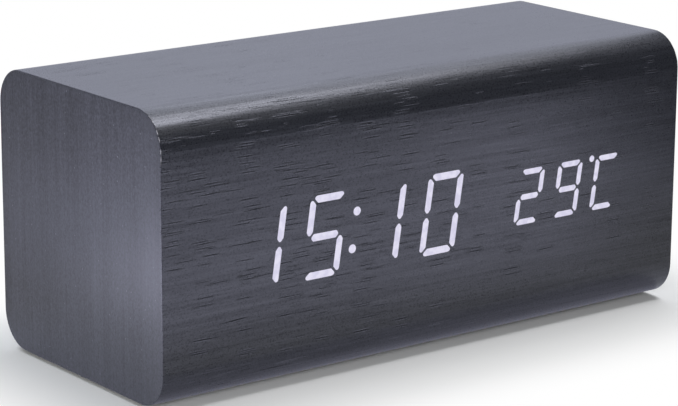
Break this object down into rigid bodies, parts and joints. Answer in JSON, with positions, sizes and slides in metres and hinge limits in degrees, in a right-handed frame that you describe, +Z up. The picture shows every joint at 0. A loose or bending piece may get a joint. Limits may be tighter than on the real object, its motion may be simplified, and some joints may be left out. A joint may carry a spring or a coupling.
{
  "type": "desk clock",
  "caption": "Black wood-veneered block desk clock: white slanted LED time and temperature shine through the front; buttons, power inlet and battery door at the back.",
  "frame": {"origin": "on the surface the clock stands on, under the middle of the case", "axes": "+X runs along the case to the right as seen from the front, -Y is the side with the display, +Z is up"},
  "size_m": [0.15, 0.065, 0.0663],
  "materials": {
    "mdf": "raw fibreboard",
    "black_veneer": "stained black, open pores, satin lacquer",
    "batten_pine": "raw pine",
    "foot_rubber": "matte",
    "mask_black": "matte black moulding",
    "lit_diffuser": "milky, lit white from behind",
    "unlit_diffuser": "milky, unlit",
    "led_phosphor": "yellow phosphor",
    "circuit_board": "green solder mask",
    "chip_black": "moulded epoxy",
    "zinc_screw": "black zinc",
    "rear_plastic": "fine spark-eroded texture",
    "button_plastic": "satin",
    "cell_jacket": "printed plastic sleeve, plain",
    "nickel_contact": "nickel plated",
    "plunger_plastic": "natural nylon",
    "switch_black": "moulded",
    "inlet_plastic": "moulded",
    "buzzer_black": "moulded",
    "can_metal": "drawn metal can",
    "capacitor_sleeve": "shrink sleeve",
    "holder_plastic": "moulded",
    "sensor_epoxy": "dipped bead",
    "header_plastic": "natural nylon",
    "ribbon_pvc": "grey flat cable",
    "lead_red": "soft PVC",
    "lead_black": "soft PVC"
  },
  "bodies": {
    "case": {"case_core": "mdf", "wrap_veneer": "black_veneer", "left_end_board": "mdf", "right_end_board": "mdf", "left_end_veneer": "black_veneer", "right_end_veneer": "black_veneer", "rubber_feet": "foot_rubber", "left_screw_batten": "batten_pine", "right_screw_batten": "batten_pine", "light_mask": "mask_black", "time_bars_lit": "lit_diffuser", "colon_dots": "lit_diffuser", "time_bars_unlit": "unlit_diffuser", "temperature_bars_lit": "lit_diffuser", "degree_dot": "lit_diffuser", "temperature_bars_unlit": "unlit_diffuser", "time_leds": "led_phosphor", "temperature_leds": "led_phosphor", "display_board": "circuit_board", "led_driver_chip": "chip_black", "display_screws": "zinc_screw", "rear_panel": "rear_plastic", "panel_screws": "zinc_screw", "aaa_cell_1": "cell_jacket", "aaa_cell_2": "cell_jacket", "aaa_cell_3": "cell_jacket", "contact_plates": "nickel_contact", "contact_springs": "nickel_contact", "main_board": "circuit_board", "board_screws": "zinc_screw", "switch_housings": "switch_black", "power_inlet_body": "inlet_plastic", "power_inlet_pin": "nickel_contact", "buzzer": "buzzer_black", "microphone": "can_metal", "clock_chip": "chip_black", "quartz_crystal": "can_metal", "smoothing_capacitor": "capacitor_sleeve", "backup_cell_holder": "holder_plastic", "backup_cell": "can_metal", "temperature_sensor": "sensor_epoxy", "ribbon_headers": "header_plastic", "ribbon_cable": "ribbon_pvc", "battery_lead_red": "lead_red", "battery_lead_black": "lead_black"},
    "set_button": {"set_button": "button_plastic", "set_switch_plunger": "plunger_plastic"},
    "up_button": {"up_button": "button_plastic", "up_switch_plunger": "plunger_plastic"},
    "down_button": {"down_button": "button_plastic", "down_switch_plunger": "plunger_plastic"},
    "battery_door": {"battery_door": "rear_plastic", "battery_door_latch": "rear_plastic"}
  },
  "joints": [
    {"name": "set_button_press", "type": "slide", "parent": "case", "child": "set_button", "axis": [0, -1, 0], "range_m": [0, 0.0005], "stiffness_N_per_m": 3000},
    {"name": "up_button_press", "type": "slide", "parent": "case", "child": "up_button", "axis": [0, -1, 0], "range_m": [0, 0.0005], "stiffness_N_per_m": 3000},
    {"name": "down_button_press", "type": "slide", "parent": "case", "child": "down_button", "axis": [0, -1, 0], "range_m": [0, 0.0005], "stiffness_N_per_m": 3000},
    {"name": "battery_door_hinge", "type": "hinge", "parent": "case", "child": "battery_door", "pos_m": [-0.0507, 0.0311, 0.03355], "axis": [0, 0, 1], "range_deg": [0, 85], "deforming": ["battery_door_latch"]}
  ]
}
